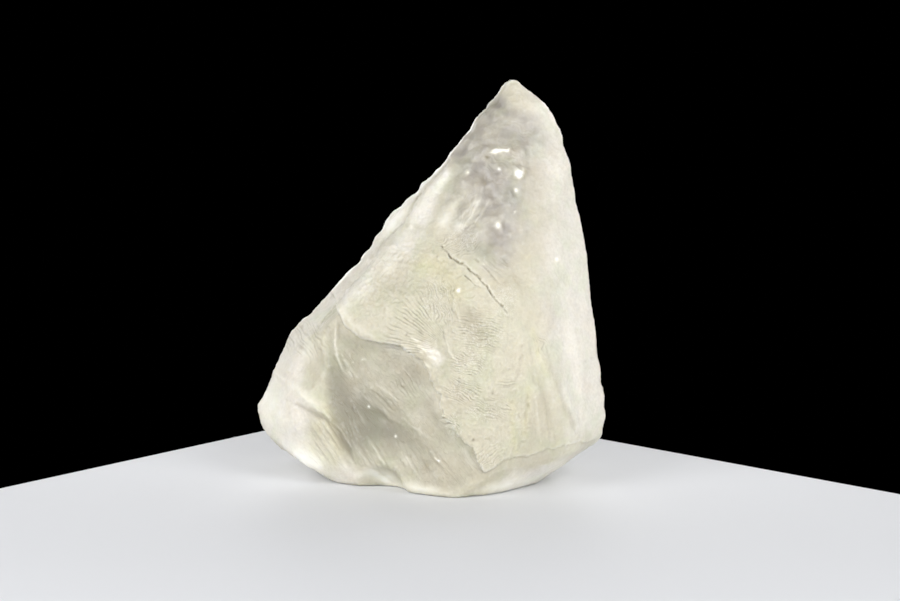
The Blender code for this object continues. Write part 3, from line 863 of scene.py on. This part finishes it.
def crack_depths(surface):
    """How deep each place lies in a crack, from 0 to 1."""
    pixels = surface.pixels
    jag = 2 * flat_lumps(pixels, CRACK_JAG, 2.2) + 1.4 * flat_lumps(pixels, CRACK_NICK, 4.2)
    gaps = ramp(flat_lumps(pixels, CRACK_GAP, 12), -0.42, -0.05)
    depths = np.zeros(len(pixels))
    for path, width, depth, shift in CRACKS:
        distance, _ = path_distance(pixels + jag[:, None], path)
        varied = np.maximum(width * (0.7 + 1.1 * flat_lumps(pixels, CRACK_JAG, shift)), 0.2)
        narrow = ramp(-distance, -varied - 0.7, -0.3)
        depths = np.maximum(depths, depth * np.maximum(gaps, 0.35) * narrow)
    ridge, _ = path_distance(pixels + 0.4 * jag[:, None], RIDGE_LINE)
    depths = np.maximum(depths, 0.3 * gaps * ramp(-ridge, -1.3, -0.1))
    depths *= surface.front
    places = surface.places
    veins = ramp(-np.abs(lumps(places, FLAW, 2, 3.3)), -0.02, 0)
    veins *= ramp(lumps(places, CLOUD, 1, 4), 0.05, 0.3)
    return np.maximum(depths, 0.35 * veins * (1 - surface.front))


def fine_shape(surface):
    """Heights of the scallops, ledges, pebbles, sand, ripples and cracks."""
    pixels = surface.pixels
    places = surface.places
    rims = (SMOKY, -10, 10), (LEFT_STRIP, -2, 4), (TROUGH, -2, 6), (ETCHED, -6, 6)
    smoky, strip, trough, plateau = (
        ramp(depth_inside(pixels, outline), *rim) * surface.front for outline, *rim in rims
    )
    behind = 1 - surface.front
    pebbles = lumps(places, PEBBLE, 2, 5)
    heights = (0.09 * smoky + 0.06 * behind) * MM * (cells(places, SCALLOP, 2) - 0.5)
    heights += TERRACE_HEIGHT * ramp(-surface.facing, 0.05, 0.35) * terraces(places)
    heights += 0.22 * smoky * MM * lumps(places, SWELL, 2, 21)
    heights += (0.06 * strip + 0.02 * trough + 0.05 * plateau + 0.05 * behind + 0.05) * MM * pebbles
    heights += (0.04 + 0.03 * plateau) * MM * lumps(places, SAND, 1, 8)
    heights += etched_heights(surface)
    heights -= CRACK_DEPTH * crack_depths(surface)
    return heights


def keep_in_box(surface):
    """Keeps the surface in the solid's box, and its base on the ground."""
    surface.places = np.clip(surface.places, *np.array(CAD_BOX))
    surface.update()


def smokiness(surface, area, height, cloud, wisp):
    """How smoky each place is: the top, darker in patches, and the same height behind."""
    patches = np.zeros(len(height))
    for x, y, across, down, amount in SMOKE_PATCHES:
        away = away_from(surface.pixels, (x, y), (across, down))
        patches += amount * np.exp(-((away + 0.25 * cloud + 0.15 * wisp) ** 2))
    smoky = 0.55 * area["smoky"] + patches * surface.front
    smoky *= 1 + 0.45 * lumps(surface.places, SMOKE_GRAIN, 3, 17)
    smoky += 0.7 * (1 - surface.front) * ramp(height + 0.2 * cloud, 0.5, 0.85)
    return smoky * (1 - area["cap"])


def yellowness(surface, area, cloud, wisp):
    """How yellow each place is: a glow in the middle, streaks, and patches behind."""
    front, behind = surface.front, 1 - surface.front
    away, _ = path_distance(surface.pixels, YELLOW_GLOW)
    yellow = front * (0.22 + 0.7 * np.exp(-((away / GLOW_REACH) ** 2)))
    yellow *= (1 - area["flank"]) * (1 - area["lobe"]) * (1 - area["strip"])
    for path in YELLOW_STREAKS:
        away, _ = path_distance(surface.pixels + 2 * wisp[:, None], path)
        yellow += 0.55 * front * np.exp(-((away / STREAK_REACH) ** 2))
    yellow += behind * (0.3 + 0.4 * ramp(cloud, -0.2, 0.5))
    yellow = np.maximum(yellow, area["streaked"] * (0.5 + 0.5 * ramp(wisp, -0.3, 0.4)))
    return yellow * (1 - 0.7 * area["pale"]) * (1 - area["left"]) * (1 - 0.8 * area["under"])


def store_zones(surface):
    """Keeps how smoky, hollow, yellow, frosted, clear, pale and cracked each place is; its paleness
    and darkness hold painted light and painted shade too.
    """
    pixels, places, front = surface.pixels, surface.places, surface.front
    behind = 1 - front
    across, down = pixels[:, 0], pixels[:, 1]
    cloud = lumps(places, CLOUD, 3, 11)
    wisp = lumps(places, WISP, 2, 14)
    veil = lumps(places, VEIL, 2, 37)
    soft = 9 * cloud + 3 * wisp
    plateau = plateau_depth(pixels) + raggedness(pixels)
    area = {
        name: ramp(depth_inside(pixels, outline) + share * soft, low, high) * front
        for name, (outline, share, low, high) in AREAS.items()
    }
    area["trough"] *= ramp(-plateau, -1.2, 0.6)
    area["strip"] *= ramp(-down - soft, -358, -316)
    area["streaked"] = oval(pixels, *STREAKED) * front
    area["under"] = (1 - ramp(plateau, -2, 3)) * ramp(down - 0.3 * (560 - across), 425, 450) * front
    area["under"] *= ramp(across, 480, 530)
    height = places[:, 2] / CAD_BOX[1][2]
    area["cap"] += behind * ramp(height, 0.9, 0.97)
    smoky = smokiness(surface, area, height, cloud, wisp)
    yellow = yellowness(surface, area, cloud, wisp)
    hollow = area["trough"] * (0.3 + 0.7 * area["dark"]) * (1 - 0.85 * area["lobe"])
    hollow += 0.25 * behind * ramp(-veil, 0.1, 0.5)
    frost = np.maximum.reduce([
        area["flank"] * (0.72 + 0.18 * ramp(down, 150, 300)),
        0.6 * area["strip"],
        0.85 * area["lobe"] * (1 - 0.7 * area["streaked"]),
        area["pearly"],
        0.15 * area["cap"],
        0.7 * area["glint"],
        0.75 * area["pale"],
        0.7 * area["left"],
        0.95 * area["under"] * ramp(-plateau, 9, 19),
        behind * (0.35 + 0.45 * ramp(veil + 0.2 * wisp, -0.3, 0.3)),
    ])
    etched = 0.15 * ramp(depth_inside(pixels, ETCHED) + 8 * cloud, -14, 10)
    for patch in WORMED:
        etched = np.maximum(etched, 0.6 * oval(pixels, patch[:2], patch[2:]))
    # Tone of the strokes and spots, with their painted light, painted shade and painted glints
    shades = strokes_and_spots(surface)[1]
    shades += (0.1 + 0.16 * smoky + 0.06 * hollow) * wisp
    shades -= 0.05 * oval(pixels, *LOWER_RIGHT) * front
    clear = np.maximum(0.1 + 0.12 * smoky + 0.12 * hollow - 0.06 * frost, 0)
    phase, strength = line_map(surface)
    polished = [0.8 * smoky, area["pearly"], 0.5 * hollow, 0.4 * area["glint"], 0.8 * behind]
    zones = {
        "smoky": smoky,
        "hollow": hollow,
        "yellow": yellow * (1 - 0.6 * smoky),
        "frost": frost * (1 - 0.8 * hollow),
        "polish": np.maximum.reduce(polished),
        "clear": clear * (1 - np.clip(shades, 0, 1)),
        "etched": etched * front + 0.4 * behind * ramp(veil, 0.05, 0.3),
        "brushed": np.maximum(area["trough"], area["streaked"]),
        "crack": crack_depths(surface),
        "shade": shades,
        "bulge": surface.bulge(BULGE_PASSES) / BULGE_HEIGHT,
        "ripples": strength,
    }
    for name, values in zones.items():
        surface.store(name, np.clip(values, -1, 1))
    surface.store("phase", phase)


class Shader:
    """Makes and joins a material's nodes."""

    def __init__(self, name):
        self.material = bpy.data.materials.new(name)
        self.material.use_nodes = True
        self.tree = self.material.node_tree

    def node(self, kind, inputs=None, **settings):
        """A node with its settings, and with values or other nodes' outputs at its inputs."""
        made = self.tree.nodes.new(kind)
        for key, value in settings.items():
            setattr(made, key, value)
        for key, value in (inputs or {}).items():
            self.feed(made.inputs[key], value)
        return made

    def feed(self, socket, value):
        """Sets a socket to a value, or joins another node's output to it."""
        if isinstance(value, bpy.types.NodeSocket):
            self.tree.links.new(value, socket)
        else:
            socket.default_value = value

    def fill(self, name, inputs):
        """Sets or joins the inputs of one of the material's first nodes."""
        for key, value in inputs.items():
            self.feed(self.tree.nodes[name].inputs[key], value)

    def stored(self, name):
        """What the mesh keeps under a name."""
        return self.node("ShaderNodeAttribute", attribute_name=name).outputs["Fac"]

    def blend(self, share, first, second, kind="MIX"):
        """A share of the second colour over the first."""
        mix = self.node("ShaderNodeMix", data_type="RGBA", blend_type=kind, clamp_factor=True)
        self.feed(mix.inputs[0], share)
        self.feed(mix.inputs[6], first)
        self.feed(mix.inputs[7], second)
        return mix.outputs[2]

    def sum(self, kind, first, second=0):
        """Arithmetic on one or two values."""
        return self.node("ShaderNodeMath", {0: first, 1: second}, operation=kind).outputs[0]

    def stretch(self, value, from_low, from_high, to_low, to_high):
        """A value moved from one range to another, and kept in it."""
        inputs = {0: value, 1: from_low, 2: from_high, 3: to_low, 4: to_high}
        return self.node("ShaderNodeMapRange", inputs).outputs[0]

    def noise(self, place, size, **inputs):
        """Soft noise in lumps of a size."""
        inputs.update({"Vector": place, "Scale": 1 / size})
        return self.node("ShaderNodeTexNoise", inputs).outputs["Fac"]

    def clouds(self, size, detail, roughness=0.5, distortion=0):
        """Soft noise all through the stone."""
        place = self.node("ShaderNodeNewGeometry").outputs["Position"]
        return self.noise(place, size, Detail=detail, Roughness=roughness, Distortion=distortion)

    def worms(self, size, stretch, turn):
        """Thin wandering lines, 1 on each, drawn out and turned down from the right."""
        place = self.node("ShaderNodeNewGeometry").outputs["Position"]
        inputs = {"Vector": place, "Rotation": (0, math.radians(turn), 0), "Scale": stretch}
        drawn = self.node("ShaderNodeMapping", inputs, vector_type="TEXTURE").outputs["Vector"]
        noisy = self.noise(drawn, size, Detail=1, Distortion=0.8)
        away = self.sum("ABSOLUTE", self.sum("SUBTRACT", noisy, 0.5))
        return self.stretch(away, 0, 0.05, 1, 0)


def crystal_colour(made, speck, lines, rippled):
    """The stone's colour: its zones, its mottling, then painted highlights and painted shade from
    its relief, its shades, which hold painted light and shade too, and fine lines.
    """
    colour = CREAM
    for zone, tone in (("yellow", YELLOW), ("smoky", SMOKE), ("hollow", GREY), ("frost", FROST)):
        colour = made.blend(made.stored(zone), colour, tone)
    mottle = made.clouds(MOTTLE, 4, 0.6, 0.6)
    tint = made.clouds(TINT, 2, 0.6, 0.4)
    colour = made.blend(made.stretch(mottle, 0.35, 0.65, 0.06, 0), colour, BLACK)
    colour = made.blend(made.stretch(tint, 0.5, 0.72, 0, 0.8), colour, PINKISH, "MULTIPLY")
    colour = made.blend(made.stretch(tint, 0.5, 0.32, 0, 1), colour, GREENISH, "MULTIPLY")
    colour = made.blend(made.stretch(speck, 0.35, 0.65, 0.14, 0), colour, EARTH_AND_SHADE)
    bulge, shade, crack = (made.stored(name) for name in ("bulge", "shade", "crack"))
    pale = made.sum("MULTIPLY", made.stored("etched"), made.worms(THREAD, (1.4, 1, 1), 75))
    for value, start, end, most, tone in (
        # painted highlights on the ridges and painted shade in the hollows
        (bulge, 0.1, 1, 0.3, WHITE),
        (bulge, -0.1, -1, 0.2, EARTH_AND_SHADE),
        # the shades: the stone's tone, with painted light, painted glints and painted shade
        (shade, 0, 0.6, 0.6, IVORY),
        (shade, 0.4, 1, 0.9, WHITE),
        (shade, 0, -1, 0.75, EARTH_AND_SHADE),
        (crack, 0.1, 0.8, 0.9, EARTH_AND_SHADE),
        (lines, 0, 1, 0.2, EARTH_AND_SHADE),
        (rippled, 0, 1, 0.42, EARTH_AND_SHADE),
        (pale, 0, 1, 0.45, WHITE),
    ):
        colour = made.blend(made.stretch(value, start, end, 0, most), colour, tone)
    return colour


def crystal_material():
    """Milky calcite with yellow, smoky, grey and frosted zones, more or less see-through."""
    made = Shader("calcite")
    speck = made.clouds(SPECK, 3)
    etched = made.sum("MULTIPLY", made.stored("etched"), made.worms(ETCHING, (1.6, 1, 1), 20))
    brushed = made.sum("MULTIPLY", made.stored("brushed"), made.worms(THREAD, (7, 2, 1), 50))
    lines = made.sum("ADD", etched, brushed)
    wave = made.stretch(made.sum("SINE", made.stored("phase")), 0, 0.9, 0, 1)
    rippled = made.sum("MULTIPLY", made.stored("ripples"), wave)
    rough = made.stretch(made.stored("polish"), 0, 1, WORN_ROUGHNESS, POLISHED_ROUGHNESS)
    grit = made.stretch(speck, 0.3, 0.7, -SPECK_ROUGHNESS, SPECK_ROUGHNESS)
    relief = made.sum("SUBTRACT", speck, made.sum("ADD", lines, rippled))
    inputs = {"Strength": BUMP_STRENGTH, "Distance": BUMP_DEPTH, "Height": relief}
    made.fill("Principled BSDF", {
        "Base Color": crystal_colour(made, speck, lines, rippled),
        "Roughness": made.sum("ADD", rough, grit),
        "Transmission Weight": made.stored("clear"),
        "IOR": CALCITE_IOR,
        "Subsurface Weight": MILK_WEIGHT,
        "Subsurface Radius": MILK_RADIUS,
        "Subsurface Scale": MILK_SCALE,
        "Normal": made.node("ShaderNodeBump", inputs).outputs["Normal"],
    })
    inputs = {"Color": INSIDE_COLOUR, "Density": INSIDE_DENSITY}
    inside = made.node("ShaderNodeVolumeAbsorption", inputs).outputs["Volume"]
    made.fill("Material Output", {"Volume": inside})
    return made.material


def make_lights():
    """Soft light from both sides, from above and behind, in a black room."""
    for name, place, size, watts in LIGHTS:
        lamp = bpy.data.lights.new(name, "AREA")
        lamp.shape = "RECTANGLE"
        lamp.size, lamp.size_y = size
        lamp.energy = watts
        light = add_object(name, lamp)
        turn = (LIGHT_AIM - Vector(place)).to_track_quat("-Z", "Y")
        light.matrix_world = Matrix.Translation(place) @ turn.to_matrix().to_4x4()
        light.visible_camera = False
    world = bpy.data.worlds.new("dark")
    world.use_nodes = True
    world.node_tree.nodes["Background"].inputs["Color"].default_value = BLACK
    bpy.context.scene.world = world


def make_floor():
    """A plain pale floor to stand on."""
    sheet = bmesh.new()
    bmesh.ops.create_cube(sheet, size=1)
    size = Matrix.Diagonal((FLOOR_SIDE, FLOOR_SIDE, FLOOR_THICKNESS, 1))
    down = Matrix.Translation(FLOOR_MIDDLE - Vector((0, 0, FLOOR_THICKNESS / 2 + FLOOR_GAP)))
    turned = down @ Matrix.Rotation(FLOOR_TURN, 4, "Z") @ size
    bmesh.ops.transform(sheet, matrix=turned, verts=sheet.verts)
    bmesh.ops.bevel(
        sheet, geom=sheet.edges, offset=FLOOR_ROUNDING, segments=3, affect="EDGES", profile=0.5
    )
    mesh = bpy.data.meshes.new("floor")
    sheet.to_mesh(mesh)
    sheet.free()
    mesh.shade_smooth()
    mesh.set_sharp_from_angle(angle=FLOOR_SHARP)
    floor = add_object("floor", mesh)
    made = Shader("floor")
    made.fill("Principled BSDF", {"Base Color": FLOOR_COLOUR, "Roughness": FLOOR_ROUGHNESS})
    mesh.materials.append(made.material)


def make_crystal(camera):
    """The crystal's surface, in place of its solid."""
    crystal = fine_crystal(camera)
    surface = Surface(crystal.data, camera)
    surface.move(broad_shape(surface))
    surface.move(fine_shape(surface))
    thin_out(crystal)
    surface = Surface(crystal.data, camera)
    keep_in_box(surface)
    store_zones(surface)
    crystal.data.materials.clear()
    crystal.data.materials.append(crystal_material())
    crystal.data.shade_smooth()
    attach(crystal, "root")
    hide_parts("crystal")
    return crystal


def main():
    bpy.context.scene.view_settings.view_transform = "Standard"
    camera = make_camera()
    crystal = make_crystal(camera)
    make_floor()
    make_lights()
    print("triangles", triangle_count(crystal.data))


main()
